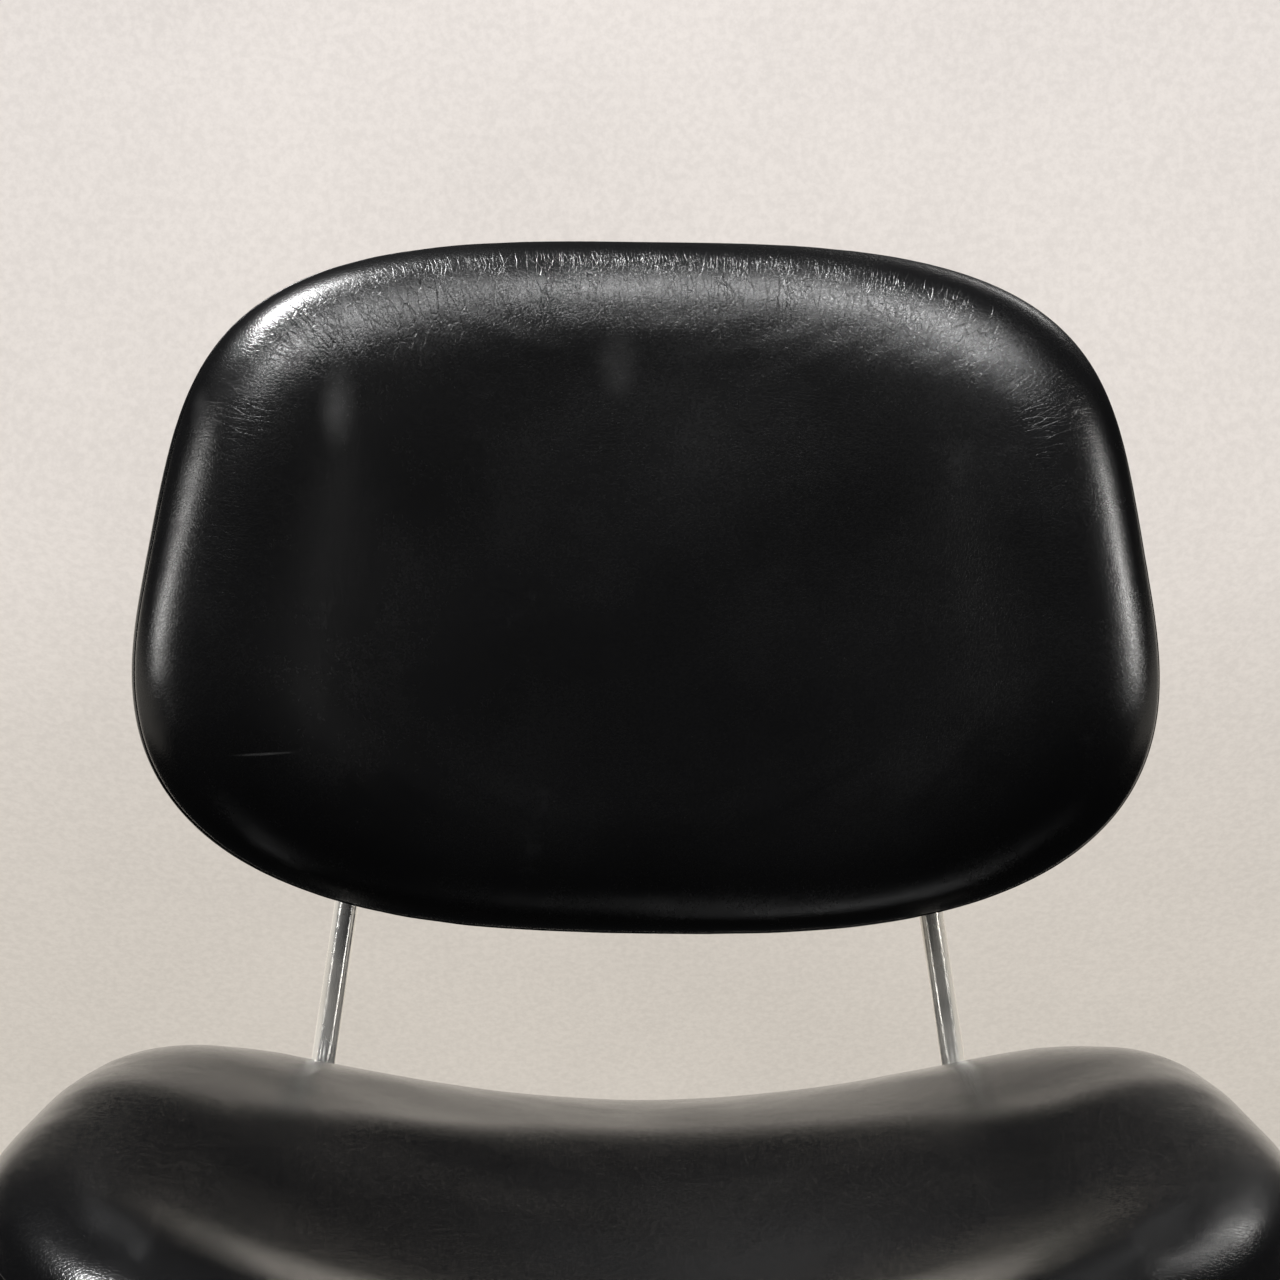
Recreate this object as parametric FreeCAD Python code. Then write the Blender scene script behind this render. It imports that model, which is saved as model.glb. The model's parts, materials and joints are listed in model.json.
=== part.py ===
import FreeCAD, Part
import math
import os

from FreeCAD import Placement, Rotation, Vector

# A low side chair: a padded back and a padded seat, each on a moulded plywood shell, held by rubber
# shock mounts on a frame of bent steel rod and tube. The frame stands on four tilting glides.
# Millimetres. +X is the sitter's left, +Y the rear of the chair, +Z up. The origin is on the floor,
# under the middle of the chair.

# ---- driving dimensions -------------------------------------------------------------------------

ROD_R = 12.7 / 2  # half-inch solid rod of the back hoop
TUBE_R = 15.9 / 2  # five-eighth-inch tube of the leg hoops
TUBE_WALL = 1.6
ROD_BEND = 42.0  # centreline radius of the rod's bends
TUBE_BEND = 52.0

COVER_T = 1.2  # leatherette
SHELL_T = 9.0  # moulded plywood
SHELL_INSET = 12.0  # foam that wraps the shell's edge, cover included
HEM_WIDTH = 34.0  # how far the cover reaches in over the shell's far face
FAR_ROLL = 9.0  # edge radius on the side away from the sitter

PUCK_R = 21.0
PUCK_H = 14.0  # height on its own axis, shell to plate
GLUE_GAP = 0.15
PLATE_T = 4.0
PLATE_HALF = 17.0
SCREW_R = 3.0  # M6
SCREW_CLEARANCE_R = 3.3
WASHER_T = 1.5

BALL_R = 6.0
BALL_Z = 11.0
SOCKET_R = 6.1
GLIDE_R = 12.5
FOOT_GAP = 12.0  # ball centre to the tube's end

STAPLE_COUNT = 36
DUST_COVER_T = 1.0
REAR_PANEL_T = 3.5
WELT_SIZE = 4.6


class Pad:
    """A padded panel in its own frame: x across, y up the back or rearwards, z towards the sitter."""

    def __init__(self, far_corner, near_corner, half_width, far_end, near_end, far_radius, near_radius,
                 trough, front, rear, sitter_roll, placement):
        self.far_corner = far_corner  # where the bulged side and the +y end would meet unrounded
        self.near_corner = near_corner
        self.half_width = half_width  # at mid height, on the side's bulge
        self.far_end = far_end  # y of the middle of the +y end
        self.near_end = near_end
        self.far_radius = far_radius  # of the rounded corners
        self.near_radius = near_radius
        self.trough = trough  # radius of the base surface, a cylinder along y
        self.front = front  # the sitter's side, measured from the base surface
        self.rear = rear  # the far side, measured from the base surface
        self.sitter_roll = sitter_roll  # edge radius on the sitter's side
        self.placement = placement

    def base(self, x):
        """Height of the base surface, which is lowest on the middle line."""
        return self.trough - math.sqrt(self.trough ** 2 - x ** 2)

    def world(self, x, y, z):
        return self.placement.multVec(Vector(x, y, z))

    def place(self, shape):
        placed = shape.copy()
        placed.Placement = self.placement.multiply(placed.Placement)
        return placed


BACK_RECLINE = 17.0
SEAT_TILT = 9.0

BACK = Pad(
    far_corner=(220.4, 145.0), near_corner=(260.0, -133.0), half_width=248.0, far_end=181.0,
    near_end=-181.5, far_radius=122.0, near_radius=115.0, trough=556.0, front=24.0, rear=-18.0,
    sitter_roll=24.0,
    placement=Placement(Vector(0, 221.0, 570.5), Rotation(Vector(1, 0, 0), 90 - BACK_RECLINE)),
)
SEAT = Pad(
    far_corner=(238.0, 196.0), near_corner=(243.0, -196.0), half_width=264.0, far_end=226.5,
    near_end=-226.5, far_radius=136.0, near_radius=136.0, trough=622.0, front=0.0, rear=-44.0,
    sitter_roll=26.0,
    placement=Placement(Vector(0, -60.5, 358.5), Rotation(Vector(1, 0, 0), -SEAT_TILT)),
)

SEAT_MOUNT_X = 122.0
SEAT_MOUNT_Y = 105.0
BACK_MOUNT_X = 85.0
BACK_MOUNT_Y = 15.0

UPRIGHT_X = 172.0  # half the spacing of the rods under the seat and at the foot of the uprights
UPRIGHT_LEAN = 0.139  # how far each upright comes in per millimetre up the back
HOOP_TOP_Y = 58.0  # height of the hoop's crossbar on the back's own y
ROD_FRONT_Y = -140.0  # front ends of the rods, on the seat's own y
FRONT_CROSS_Y = -126.0
REAR_CROSS_Y = 178.0

FRONT_CORNER_X = 208.0
REAR_CORNER_X = 196.0
FRONT_FOOT = Vector(250, -243, BALL_Z)
REAR_FOOT = Vector(244, 225, BALL_Z)

# ---- outlines and layers of a pad ---------------------------------------------------------------


def touch_point(side, centre, inset):
    """Where the rounding with that centre meets the side, moved inwards by inset."""
    return side.Center + (centre - side.Center).normalize() * (side.Radius - inset)


def rounding_centre(side, after, radius, corner):
    """Centre of the circle of that radius that touches both sides from inside, near their corner."""
    apart = after.Center - side.Center
    from_side, from_after = side.Radius - radius, after.Radius - radius
    along = (from_side ** 2 - from_after ** 2 + apart.Length ** 2) / (2 * apart.Length)
    off = math.sqrt(from_side ** 2 - along ** 2)
    unit = apart / apart.Length
    foot = side.Center + unit * along
    sideways = Vector(-unit.y, unit.x, 0) * off
    return min((foot + sideways, foot - sideways), key=corner.distanceToPoint)


def outline(pad, inset=0.0):
    """Four bulged sides with rounded corners, moved inwards by inset: a closed wire in z = 0."""
    (far_x, far_y), (near_x, near_y) = pad.far_corner, pad.near_corner
    corners = [Vector(far_x, far_y, 0), Vector(-far_x, far_y, 0),
               Vector(-near_x, near_y, 0), Vector(near_x, near_y, 0)]
    radii = [pad.far_radius, pad.far_radius, pad.near_radius, pad.near_radius]
    middle = (far_y + near_y) / 2
    bulges = [Vector(pad.half_width, middle, 0), Vector(0, pad.far_end, 0),
              Vector(-pad.half_width, middle, 0), Vector(0, pad.near_end, 0)]
    arcs = [Part.Arc(corners[i - 1], bulges[i], corners[i]) for i in range(4)]
    sides = [arc.toShape().Curve for arc in arcs]  # the full circles
    afters = sides[1:] + sides[:1]
    centres = [rounding_centre(*four) for four in zip(sides, afters, radii, corners)]
    edges = []
    for i in range(4):
        start = touch_point(sides[i], centres[i - 1], inset)
        end = touch_point(sides[i], centres[i], inset)
        bulge = touch_point(sides[i], bulges[i], inset)
        edges.append(Part.Arc(start, bulge, end).toShape())
        onward = touch_point(afters[i], centres[i], inset)
        outwards = (end - centres[i]).normalize() + (onward - centres[i]).normalize()
        knee = centres[i] + outwards.normalize() * (radii[i] - inset)
        edges.append(Part.Arc(end, knee, onward).toShape())
    return Part.Wire(edges)


def column(pad, inset, low=-160.0, high=200.0):
    """The prism of the inset outline, from low to high."""
    face = Part.Face(outline(pad, inset))
    face.translate(Vector(0, 0, low))
    return face.extrude(Vector(0, 0, high - low))


def slab(pad, low, high):
    """All that lies between the base surface moved to low and the same surface moved to high."""
    start, length = Vector(0, -400, pad.trough), 800
    outer = Part.makeCylinder(pad.trough - low, length, start, Vector(0, 1, 0))
    inner = Part.makeCylinder(pad.trough - high, length, start, Vector(0, 1, 0))
    below = Part.makeBox(800, length, 400, Vector(-400, -400, -160))
    return outer.cut(inner).common(below)


def layer(pad, inset, low, high):
    return slab(pad, low, high).common(column(pad, inset))


def rim(pad, shape, level):
    """The edges of a layer that lie on the base surface moved to level."""
    def on_level(point):
        gap = math.hypot(point.x, pad.trough - point.z) - (pad.trough - level)
        return abs(gap) < 0.1
    return [e for e in shape.Edges if all(on_level(p) for p in e.discretize(5))]


def padded_body(pad, inset):
    """The whole pad as one rounded solid, shrunk by inset on every side."""
    low, high = pad.rear + inset, pad.front - inset
    body = layer(pad, inset, low, high)
    body = body.makeFillet(pad.sitter_roll - inset, rim(pad, body, high))
    return body.makeFillet(FAR_ROLL - inset, rim(pad, body, low))


def ring_layer(pad, outer_inset, inner_inset, low, high):
    return layer(pad, outer_inset, low, high).cut(column(pad, inner_inset))


def pad_parts(pad):
    """The cover, foam and plywood shell of a pad, in the pad's own frame."""
    inner = padded_body(pad, COVER_T)
    window = layer(pad, HEM_WIDTH, pad.rear - 2, pad.rear + COVER_T + 0.4)
    cover = padded_body(pad, 0.0).cut(inner).cut(window)
    shell = layer(pad, SHELL_INSET, pad.rear + COVER_T, pad.rear + COVER_T + SHELL_T)
    foam = inner.cut(shell)
    return {"cover": cover, "foam": foam, "shell": shell}


# ---- mounts between shell and frame -------------------------------------------------------------


def rod_piece(centre, direction, radius, length):
    return Part.makeCylinder(radius, length, centre, direction)


DOWN = Vector(0, 0, -1)


def shell_point(pad, x, y):
    """The point of the shell's far face over a mount."""
    return Vector(x, y, pad.base(x) + pad.rear + COVER_T)


def plate_top(pad, x, y):
    return shell_point(pad, x, y).z - PUCK_H


def shock_mount(pad, x, y):
    """A rubber puck whose wide flange is bonded to the sloping shell, hollow for its steel core."""
    top = shell_point(pad, x, y) + Vector(0, 0, 8)
    seat = Vector(x, y, plate_top(pad, x, y))
    waist_r, flange_t = PUCK_R - 3.0, 3.0
    puck = rod_piece(top, DOWN, PUCK_R, top.z - seat.z)
    groove = rod_piece(seat + Vector(0, 0, flange_t), -DOWN, PUCK_R + 5, 4.0)
    groove = groove.cut(rod_piece(seat, -DOWN, waist_r, PUCK_H))
    puck = puck.cut(groove)
    puck = puck.cut(slab(pad, pad.rear + COVER_T - GLUE_GAP, pad.rear + COVER_T + 60))
    hollow = mount_core_envelope(seat, 0.05)
    return puck.cut(hollow)


CORE_DISC_R = 12.0
CORE_DISC_T = 2.5
CORE_BOSS_R = 7.0
CORE_BOSS_H = 5.0
SCREW_END = 9.0  # how far the screw reaches past the plate


def mount_core_envelope(seat, clearance):
    """The space of the steel core and of the screw's end, inside the rubber."""
    boss = rod_piece(seat - Vector(0, 0, 1), -DOWN, CORE_BOSS_R + clearance, CORE_BOSS_H + 1)
    disc_at = seat + Vector(0, 0, CORE_BOSS_H - clearance)
    disc = rod_piece(disc_at, -DOWN, CORE_DISC_R + clearance, CORE_DISC_T + 2 * clearance)
    relief = rod_piece(seat, -DOWN, SCREW_CLEARANCE_R, SCREW_END + 1)
    return boss.fuse(disc).fuse(relief).removeSplitter()


def mount_core(pad, x, y):
    """The threaded steel core that is moulded into the rubber."""
    seat = Vector(x, y, plate_top(pad, x, y))
    boss = rod_piece(seat, -DOWN, CORE_BOSS_R, CORE_BOSS_H)
    disc = rod_piece(seat + Vector(0, 0, CORE_BOSS_H), -DOWN, CORE_DISC_R, CORE_DISC_T)
    core = boss.fuse(disc).removeSplitter()
    return core.cut(rod_piece(seat - Vector(0, 0, 1), -DOWN, SCREW_R, 12))


def mount_plate(pad, x, y, rod_x):
    """A flat steel tab with round ends, from under the puck to across the rod."""
    top = plate_top(pad, x, y)
    side = math.copysign(1, x)
    reach = abs(rod_x) - abs(x)
    start = Vector(x, y, top - PLATE_T)
    end = Vector(x + side * reach, y, top - PLATE_T)
    bar = Part.makeBox(reach, 2 * PLATE_HALF, PLATE_T,
                       Vector(min(start.x, end.x), y - PLATE_HALF, top - PLATE_T))
    plate = bar.fuse(rod_piece(start, -DOWN, PLATE_HALF, PLATE_T))
    tail = Part.makeBox(ROD_R + 2, 2 * PLATE_HALF, PLATE_T,
                        Vector(min(end.x, end.x + side * (ROD_R + 2)), y - PLATE_HALF, top - PLATE_T))
    plate = plate.fuse(tail).removeSplitter()
    plate = plate.cut(rod_piece(start - Vector(0, 0, 1), -DOWN, SCREW_CLEARANCE_R, PLATE_T + 2))
    corners = [e for e in plate.Edges
               if abs(e.Length - PLATE_T) < 0.01 and abs(e.CenterOfMass.x) > abs(end.x) + 1]
    return plate.makeFillet(4.0, corners)


def washer_under(pad, x, y):
    at = Vector(x, y, plate_top(pad, x, y) - PLATE_T)
    ring = rod_piece(at, DOWN, 6.4, WASHER_T)
    return ring.cut(rod_piece(at, DOWN, SCREW_CLEARANCE_R - 0.2, WASHER_T + 1))


def screw_under(pad, x, y):
    """A pan-head M6 screw with a cross recess, up through the washer, the plate and the core."""
    head_at = Vector(x, y, plate_top(pad, x, y) - PLATE_T - WASHER_T)
    head = rod_piece(head_at, DOWN, 5.8, 3.8)
    rim = [e for e in head.Edges if abs(e.CenterOfMass.z - (head_at.z - 3.8)) < 0.01 and e.Length > 20]
    head = head.makeFillet(2.2, rim)
    shank = rod_piece(head_at, -DOWN, SCREW_R - 0.05, WASHER_T + PLATE_T + SCREW_END - 0.5)
    screw = head.fuse(shank).removeSplitter()
    for width, depth in ((6.2, 1.1), (1.1, 6.2)):
        slot = Part.makeBox(width, depth, 2.4,
                            Vector(x - width / 2, y - depth / 2, head_at.z - 3.8 - 0.2))
        screw = screw.cut(slot)
    return screw


# ---- bent rod and tube --------------------------------------------------------------------------


def bent_path(points, bend):
    """Straight runs joined by tangent arcs of one radius."""
    edges, start = [], points[0]
    for before, corner, after in zip(points, points[1:], points[2:]):
        back = (before - corner).normalize()
        on = (after - corner).normalize()
        half_turn = (math.pi - back.getAngle(on)) / 2
        setback = bend * math.tan(half_turn)
        arc_start, arc_end = corner + back * setback, corner + on * setback
        towards_centre = (back + on).normalize()
        middle = corner + towards_centre * (bend / math.cos(half_turn) - bend)
        edges.append(Part.LineSegment(start, arc_start).toShape())
        edges.append(Part.Arc(arc_start, middle, arc_end).toShape())
        start = arc_end
    edges.append(Part.LineSegment(start, points[-1]).toShape())
    return Part.Wire(edges)


def swept(points, bend, radius):
    path = bent_path(points, bend)
    direction = points[1] - points[0]
    profile = Part.Wire(Part.makeCircle(radius, points[0], direction))
    pipe = Part.BRepOffsetAPI.MakePipeShell(path)
    pipe.add(profile)
    pipe.build()
    pipe.makeSolid()
    return pipe.shape()


def tube(points, bend, radius, wall):
    """A bent tube with open ends."""
    first = (points[0] - points[1]).normalize()
    last = (points[-1] - points[-2]).normalize()
    longer = [points[0] + first * 2, *points[1:-1], points[-1] + last * 2]
    return swept(points, bend, radius).cut(swept(longer, bend, radius - wall))


def mirrored(point):
    return Vector(-point.x, point.y, point.z)


def both_sides(half):
    """A path that starts on the right, runs to the middle and comes back on the left."""
    return [*half, *[mirrored(p) for p in reversed(half)]]


# ---- the frame ----------------------------------------------------------------------------------

SEAT_ROD_Z = plate_top(SEAT, SEAT_MOUNT_X, SEAT_MOUNT_Y) - PLATE_T - ROD_R
BACK_ROD_Z = plate_top(BACK, BACK_MOUNT_X, BACK_MOUNT_Y) - PLATE_T - ROD_R
CROSS_Z = SEAT_ROD_Z - ROD_R - TUBE_R


def hoop_corner():
    """Where the line of the rod under the seat meets the plane of the uprights."""
    into_back = BACK.placement.inverse()
    near = into_back.multVec(SEAT.world(UPRIGHT_X, 0, SEAT_ROD_Z))
    far = into_back.multVec(SEAT.world(UPRIGHT_X, 300, SEAT_ROD_Z))
    share = (BACK_ROD_Z - near.z) / (far.z - near.z)
    return near + (far - near) * share


HOOP_CORNER = hoop_corner()


def upright_x(y):
    """How far out the upright stands at a height on the back's own y."""
    return UPRIGHT_X - UPRIGHT_LEAN * (y - HOOP_CORNER.y)


def back_hoop():
    """One bent rod: under the seat, up behind it, across behind the back and down again."""
    half = [
        SEAT.world(UPRIGHT_X, ROD_FRONT_Y, SEAT_ROD_Z),
        BACK.world(UPRIGHT_X, HOOP_CORNER.y, BACK_ROD_Z),
        BACK.world(upright_x(HOOP_TOP_Y), HOOP_TOP_Y, BACK_ROD_Z),
    ]
    hoop = swept(both_sides(half), ROD_BEND, ROD_R)
    rod_ends = (half[0], mirrored(half[0]))
    rims = [edge for edge in hoop.Edges
            if any(edge.CenterOfMass.distanceToPoint(end) < 1 for end in rod_ends)]
    return hoop.makeChamfer(1.2, rims)


def leg_axis(corner, foot):
    return (corner - foot).normalize()


def leg_hoop(cross_y, corner_x, foot):
    """A tube that runs up one leg, across under the rods and down the other leg."""
    corner = SEAT.world(corner_x, cross_y, CROSS_Z)
    tube_end = foot + leg_axis(corner, foot) * FOOT_GAP
    return tube(both_sides([tube_end, corner]), TUBE_BEND, TUBE_R, TUBE_WALL)


def plate_weld(pad, x, y, rod_at, rod_direction, hoop):
    """Two fillet beads in the corners between a plate's underside and the rod below it."""
    under = plate_top(pad, x, y) - PLATE_T
    spread, drop, length = ROD_R + 1.6, ROD_R * 0.62, 2 * PLATE_HALF - 8
    middle = Vector(rod_at.x, y, under)
    outline = Part.makePolygon([
        Vector(-spread, -length / 2, 0), Vector(-ROD_R * 0.8, -length / 2, -drop),
        Vector(ROD_R * 0.8, -length / 2, -drop), Vector(spread, -length / 2, 0),
        Vector(-spread, -length / 2, 0),
    ])
    bead = Part.Face(outline).extrude(Vector(0, length, 0))
    turn = math.degrees(math.atan2(rod_direction.y, rod_direction.x)) - 90
    bead.rotate(Vector(0, 0, 0), Vector(0, 0, 1), turn)
    bead.translate(middle)
    return pad.place(bead).cut(hoop)


def crossing_weld(x, cross_y):
    """The bead that fills in round the point where a rod rests on a cross tube."""
    touch = Vector(x, cross_y, SEAT_ROD_Z - ROD_R)
    bead = rod_piece(touch - Vector(0, 0, 4), -DOWN, 5.6, 8)
    rod = rod_piece(Vector(x, cross_y - 60, SEAT_ROD_Z), Vector(0, 1, 0), ROD_R, 120)
    cross = rod_piece(Vector(x - 60, cross_y, CROSS_Z), Vector(1, 0, 0), TUBE_R, 120)
    return bead.cut(rod).cut(cross)


def frame_welds(hoop):
    beads = []
    for side in (1, -1):
        for y in (-SEAT_MOUNT_Y, SEAT_MOUNT_Y):
            rod_at = Vector(side * UPRIGHT_X, y, SEAT_ROD_Z)
            beads.append(plate_weld(SEAT, side * SEAT_MOUNT_X, y, rod_at, Vector(0, 1, 0), hoop))
        for cross_y in (FRONT_CROSS_Y, REAR_CROSS_Y):
            beads.append(SEAT.place(crossing_weld(side * UPRIGHT_X, cross_y)))
        rod_at = Vector(side * upright_x(BACK_MOUNT_Y), BACK_MOUNT_Y, BACK_ROD_Z)
        direction = Vector(-side * UPRIGHT_LEAN, 1, 0).normalize()
        beads.append(plate_weld(BACK, side * BACK_MOUNT_X, BACK_MOUNT_Y, rod_at, direction, hoop))
    return Part.makeCompound([s for bead in beads for s in bead.Solids])


# ---- feet ---------------------------------------------------------------------------------------


def ball_stem(foot, axis):
    """A steel ball on a thin neck, with a thicker shank that is pressed into the tube's plug."""
    ball = Part.makeSphere(BALL_R, foot)
    neck = rod_piece(foot, axis, 2.5, FOOT_GAP)
    shank = rod_piece(foot + axis * (FOOT_GAP - 2.5), axis, 3.2, 20)
    return ball.fuse(neck).fuse(shank).removeSplitter()


def tube_plug(foot, axis):
    """The plastic plug in a tube's end, with a flange that covers the tube's rim."""
    mouth = foot + axis * FOOT_GAP
    barrel = rod_piece(mouth - axis * 1.8, axis, TUBE_R - TUBE_WALL - 0.02, 24)
    flange = rod_piece(mouth - axis * 1.8, axis, TUBE_R, 1.8)
    plug = barrel.fuse(flange).removeSplitter()
    return plug.cut(rod_piece(foot, axis, 3.2, 50))


def glide_base(foot):
    """The round foot that tilts on the ball and lies flat on the floor."""
    profile = Part.makePolygon([
        Vector(0, 0, 0), Vector(GLIDE_R - 1.2, 0, 0), Vector(GLIDE_R, 0, 1.2), Vector(GLIDE_R, 0, 3.6),
        Vector(GLIDE_R - 2.5, 0, 7.5), Vector(8.4, 0, BALL_Z + 2.5), Vector(0, 0, BALL_Z + 2.5),
        Vector(0, 0, 0),
    ])
    base = Part.Face(profile).revolve(Vector(0, 0, 0), Vector(0, 0, 1), 360)
    base.translate(Vector(foot.x, foot.y, 0))
    return base.cut(Part.makeSphere(SOCKET_R, foot))


# ---- trim on the far faces ----------------------------------------------------------------------


def mount_holes(pad, spots, radius):
    holes = [rod_piece(Vector(x, y, -150), -DOWN, radius, 300) for x, y in spots]
    return Part.makeCompound(holes)


def spots_of(x, ys):
    return [(side * x, y) for side in (1, -1) for y in ys]


def dust_cover():
    sheet = layer(SEAT, 20.0, SEAT.rear - DUST_COVER_T, SEAT.rear)
    spots = spots_of(SEAT_MOUNT_X, (-SEAT_MOUNT_Y, SEAT_MOUNT_Y))
    return sheet.cut(mount_holes(SEAT, spots, PUCK_R + 2))


def rear_panel():
    panel = layer(BACK, 26.0, BACK.rear - REAR_PANEL_T, BACK.rear)
    panel = panel.makeFillet(1.5, rim(BACK, panel, BACK.rear - REAR_PANEL_T))
    return panel.cut(mount_holes(BACK, spots_of(BACK_MOUNT_X, (BACK_MOUNT_Y,)), PUCK_R + 2))


def back_welt():
    """The piping that fills the joint round the rear panel."""
    inner = 26.0 - 0.05
    ring = ring_layer(BACK, inner - WELT_SIZE, inner, BACK.rear - WELT_SIZE, BACK.rear)
    return ring


def staple():
    """One wire staple: its crown along x, its legs up."""
    wire, crown, leg = 0.7, 10.0, 6.0
    shape = Part.makeBox(crown, wire, wire, Vector(-crown / 2, -wire / 2, -wire))
    for x in (-crown / 2, crown / 2 - wire):
        shape = shape.fuse(Part.makeBox(wire, wire, leg, Vector(x, -wire / 2, -wire)))
    return shape.removeSplitter()


def staples():
    """A row of staples through the dust cover and the cover's hem into the shell."""
    def on_sheet(point):
        level = SEAT.base(point.x) + SEAT.rear - DUST_COVER_T
        return Vector(point.x, point.y, level)
    points = [on_sheet(p) for p in outline(SEAT, 25.0).discretize(STAPLE_COUNT + 1)[:-1]]
    made = []
    for j, point in enumerate(points):
        before, after = points[j - 1], points[(j + 1) % STAPLE_COUNT]
        along = (after - before).normalize()
        sideways = Vector(0, 0, 1).cross(along).normalize()
        turn = Rotation(along, sideways, along.cross(sideways), "XYZ")
        one = staple()
        one.Placement = Placement(point, turn)
        made.append(one)
    return Part.makeCompound(made)


# ---- all nodes ----------------------------------------------------------------------------------


def seat_nodes():
    nodes = {f"seat_{name}": shape for name, shape in pad_parts(SEAT).items()}
    nodes["seat_dust_cover"] = dust_cover()
    nodes["seat_staples"] = staples()
    spots = {
        "front_left": (SEAT_MOUNT_X, -SEAT_MOUNT_Y), "front_right": (-SEAT_MOUNT_X, -SEAT_MOUNT_Y),
        "rear_left": (SEAT_MOUNT_X, SEAT_MOUNT_Y), "rear_right": (-SEAT_MOUNT_X, SEAT_MOUNT_Y),
    }
    for name, (x, y) in spots.items():
        nodes[f"seat_shock_mount_{name}"] = shock_mount(SEAT, x, y)
        nodes[f"seat_mount_core_{name}"] = mount_core(SEAT, x, y)
        nodes[f"seat_mount_plate_{name}"] = mount_plate(SEAT, x, y, math.copysign(UPRIGHT_X, x))
    nodes["seat_mount_screws"] = Part.makeCompound([screw_under(SEAT, x, y) for x, y in spots.values()])
    nodes["seat_lock_washers"] = Part.makeCompound([washer_under(SEAT, x, y) for x, y in spots.values()])
    return {name: SEAT.place(shape) for name, shape in nodes.items()}


def back_nodes():
    nodes = {f"back_{name}": shape for name, shape in pad_parts(BACK).items()}
    nodes["back_rear_panel"] = rear_panel()
    nodes["back_welt"] = back_welt()
    spots = {"left": (BACK_MOUNT_X, BACK_MOUNT_Y), "right": (-BACK_MOUNT_X, BACK_MOUNT_Y)}
    for name, (x, y) in spots.items():
        rod_x = math.copysign(upright_x(BACK_MOUNT_Y), x)
        nodes[f"back_shock_mount_{name}"] = shock_mount(BACK, x, y)
        nodes[f"back_mount_core_{name}"] = mount_core(BACK, x, y)
        nodes[f"back_mount_plate_{name}"] = mount_plate(BACK, x, y, rod_x)
    nodes["back_mount_screws"] = Part.makeCompound([screw_under(BACK, x, y) for x, y in spots.values()])
    nodes["back_lock_washers"] = Part.makeCompound([washer_under(BACK, x, y) for x, y in spots.values()])
    return {name: BACK.place(shape) for name, shape in nodes.items()}


def foot_nodes():
    nodes = {}
    for row, foot, corner_x, cross_y in (
        ("front", FRONT_FOOT, FRONT_CORNER_X, FRONT_CROSS_Y),
        ("rear", REAR_FOOT, REAR_CORNER_X, REAR_CROSS_Y),
    ):
        corner = SEAT.world(corner_x, cross_y, CROSS_Z)
        for side in ("left", "right"):
            here, top = (foot, corner) if side == "left" else (mirrored(foot), mirrored(corner))
            axis = leg_axis(top, here)
            nodes[f"ball_stem_{row}_{side}"] = ball_stem(here, axis)
            nodes[f"tube_plug_{row}_{side}"] = tube_plug(here, axis)
            nodes[f"glide_base_{row}_{side}"] = glide_base(here)
    return nodes


def frame_nodes():
    hoop = back_hoop()
    return {
        "back_hoop": hoop,
        "front_leg_hoop": leg_hoop(FRONT_CROSS_Y, FRONT_CORNER_X, FRONT_FOOT),
        "rear_leg_hoop": leg_hoop(REAR_CROSS_Y, REAR_CORNER_X, REAR_FOOT),
        "frame_welds": frame_welds(hoop),
    }


def write(nodes):
    os.makedirs("parts", exist_ok=True)
    for name, shape in nodes.items():
        if not shape.isValid() or not shape.Solids:
            raise ValueError(f"{name} is not a valid solid")
        shape.exportStep(f"parts/{name}.step")


write({**frame_nodes(), **foot_nodes(), **seat_nodes(), **back_nodes()})
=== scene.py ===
import json
import math
import random

import bpy
import numpy as np
from mathutils import Matrix, Vector
from mathutils.kdtree import KDTree


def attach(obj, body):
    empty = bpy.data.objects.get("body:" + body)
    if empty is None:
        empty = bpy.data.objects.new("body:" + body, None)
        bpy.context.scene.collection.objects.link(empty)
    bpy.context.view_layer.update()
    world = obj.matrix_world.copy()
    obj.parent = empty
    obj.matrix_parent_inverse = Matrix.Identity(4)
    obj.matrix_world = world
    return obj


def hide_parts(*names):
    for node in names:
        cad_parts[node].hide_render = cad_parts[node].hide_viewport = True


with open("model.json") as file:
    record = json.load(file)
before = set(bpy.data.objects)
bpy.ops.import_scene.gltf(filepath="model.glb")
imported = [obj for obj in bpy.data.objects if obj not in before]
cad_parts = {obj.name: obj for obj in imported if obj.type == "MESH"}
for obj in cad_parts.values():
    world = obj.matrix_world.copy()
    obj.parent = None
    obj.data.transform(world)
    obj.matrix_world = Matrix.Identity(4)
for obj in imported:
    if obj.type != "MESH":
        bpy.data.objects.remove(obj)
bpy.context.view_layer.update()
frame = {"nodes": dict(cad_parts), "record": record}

MM = 0.001


# ---- the camera, which comes before everything else ---------------------------------------------

EYE = Vector((0.0, -1.131, 0.82))
PITCH_DOWN = math.radians(11.7)
YAW = -0.0007
LENS, SENSOR_WIDTH = 75.0, 36.0  # millimetres


def add_camera():
    data = bpy.data.cameras.new("camera")
    data.lens, data.sensor_width = LENS, SENSOR_WIDTH
    camera = bpy.data.objects.new("camera", data)
    camera.location = EYE
    camera.rotation_euler = (math.pi / 2 - PITCH_DOWN, 0.0, YAW)
    bpy.context.scene.collection.objects.link(camera)
    bpy.context.scene.camera = camera


add_camera()


# ---- small helpers ------------------------------------------------------------------------------


def smooth_step(x, low, high):
    t = np.clip((x - low) / (high - low), 0.0, 1.0)
    return t * t * (3 - 2 * t)


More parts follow.
